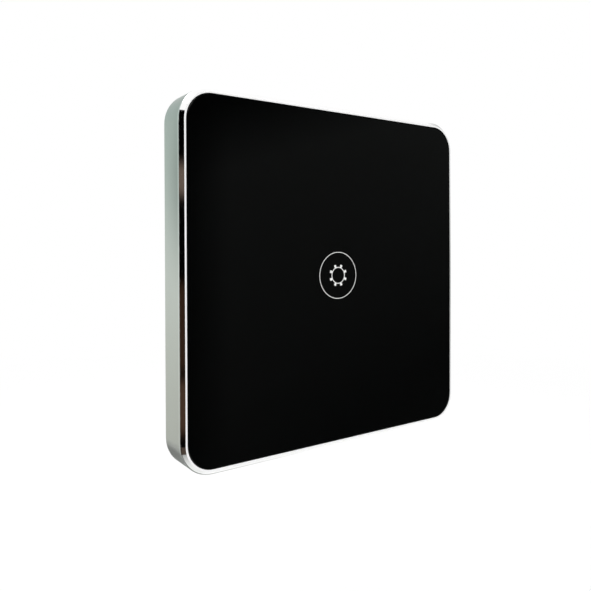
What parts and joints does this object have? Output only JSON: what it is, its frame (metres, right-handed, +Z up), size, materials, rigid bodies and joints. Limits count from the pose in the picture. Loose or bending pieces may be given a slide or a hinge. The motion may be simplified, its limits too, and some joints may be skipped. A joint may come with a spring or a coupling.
{
  "type": "touch light switch",
  "caption": "Square touch light switch: black glass front in a chamfered aluminium frame that pushes onto a flush wall module with a steel yoke, touch spring, relay board and screw terminals",
  "frame": {"origin": "middle of the wall plane, halfway between the wall screws, on the back of the yoke", "axes": "X right as seen from the room, Y into the wall, Z up; the glass faces -Y"},
  "size_m": [0.086, 0.0356, 0.086],
  "materials": {
    "satin_aluminium": "satin anodised sides with a polished chamfer",
    "black_glass": "glossy black-backed tempered glass",
    "foam_tape": "black foam tape",
    "black_plastic": "moulded black plastic",
    "milky_plastic": "milky translucent plastic",
    "zinc_steel": "zinc-plated sheet steel",
    "white_plastic": "moulded off-white plastic",
    "screw_steel": "plated screw",
    "board_laminate": "green printed board",
    "spring_steel": "plated spring wire",
    "ceramic_chip": "chip part",
    "contact_brass": "brass strip",
    "copper_wire": "lacquered copper winding",
    "ferrite": "ferrite",
    "blue_plastic": "blue moulded or lacquered",
    "yellow_plastic": "yellow boxed capacitor",
    "can_aluminium": "sleeved aluminium can",
    "brown_plastic": "brown moulded fuse",
    "green_plastic": "moulded green terminal"
  },
  "bodies": {
    "base": {"mounting_yoke": "zinc_steel", "inner_cover": "white_plastic", "back_housing": "white_plastic", "housing_screws": "screw_steel", "touch_board": "board_laminate", "board_screws": "screw_steel", "touch_spring": "spring_steel", "indicator_leds": "milky_plastic", "touch_chip": "black_plastic", "touch_passives": "ceramic_chip", "header_spacer": "black_plastic", "header_pins": "contact_brass", "power_board": "board_laminate", "relay_case": "blue_plastic", "relay_base": "black_plastic", "relay_frame": "zinc_steel", "relay_core": "zinc_steel", "relay_bobbin": "white_plastic", "relay_coil": "copper_wire", "relay_coil_pins": "contact_brass", "relay_fixed_contact": "contact_brass", "transformer_core": "ferrite", "transformer_winding": "copper_wire", "transformer_bobbin": "black_plastic", "film_capacitor": "yellow_plastic", "smoothing_capacitor": "can_aluminium", "varistor": "blue_plastic", "fuse": "brown_plastic", "rectifier": "black_plastic", "terminal_body": "green_plastic", "terminal_tongues": "contact_brass"},
    "front_panel": {"bezel_frame": "satin_aluminium", "glass_panel": "black_glass", "adhesive_tape": "foam_tape", "panel_carrier": "black_plastic", "light_diffuser": "milky_plastic"},
    "armature": {"relay_armature": "zinc_steel", "relay_contact_spring": "contact_brass"},
    "screw_live": {"terminal_screw_live": "screw_steel"},
    "screw_neutral": {"terminal_screw_neutral": "screw_steel"},
    "screw_load": {"terminal_screw_load": "screw_steel"},
    "cage_live": {"clamp_cage_live": "contact_brass"},
    "cage_neutral": {"clamp_cage_neutral": "contact_brass"},
    "cage_load": {"clamp_cage_load": "contact_brass"}
  },
  "joints": [
    {"name": "panel_pull", "type": "slide", "parent": "base", "child": "front_panel", "axis": [0, -1, 0], "range_m": [0, 0.012]},
    {"name": "armature_rock", "type": "hinge", "parent": "base", "child": "armature", "pos_m": [-0.0192, 0.02085, 0], "axis": [0, 0, -1], "range_deg": [0, 4.5], "stiffness_Nm_per_rad": 0.01, "springref_deg": -8.59},
    {"name": "screw_turn_live", "type": "hinge", "parent": "base", "child": "screw_live", "pos_m": [-0.0075, 0.02, -0.0177], "axis": [0, -1, 0], "range_deg": [0, 1800]},
    {"name": "screw_turn_neutral", "type": "hinge", "parent": "base", "child": "screw_neutral", "pos_m": [0, 0.02, -0.0177], "axis": [0, -1, 0], "range_deg": [0, 1800]},
    {"name": "screw_turn_load", "type": "hinge", "parent": "base", "child": "screw_load", "pos_m": [0.0075, 0.02, -0.0177], "axis": [0, -1, 0], "range_deg": [0, 1800]},
    {"name": "clamp_rise_live", "type": "slide", "parent": "base", "child": "cage_live", "axis": [0, 1, 0], "range_m": [0, 0.0025]},
    {"name": "clamp_rise_neutral", "type": "slide", "parent": "base", "child": "cage_neutral", "axis": [0, 1, 0], "range_m": [0, 0.0025]},
    {"name": "clamp_rise_load", "type": "slide", "parent": "base", "child": "cage_load", "axis": [0, 1, 0], "range_m": [0, 0.0025]}
  ],
  "couplings": [
    {"joint": "screw_turn_live", "follows": "clamp_rise_live", "rad_per_m": 12566},
    {"joint": "screw_turn_neutral", "follows": "clamp_rise_neutral", "rad_per_m": 12566},
    {"joint": "screw_turn_load", "follows": "clamp_rise_load", "rad_per_m": 12566}
  ]
}
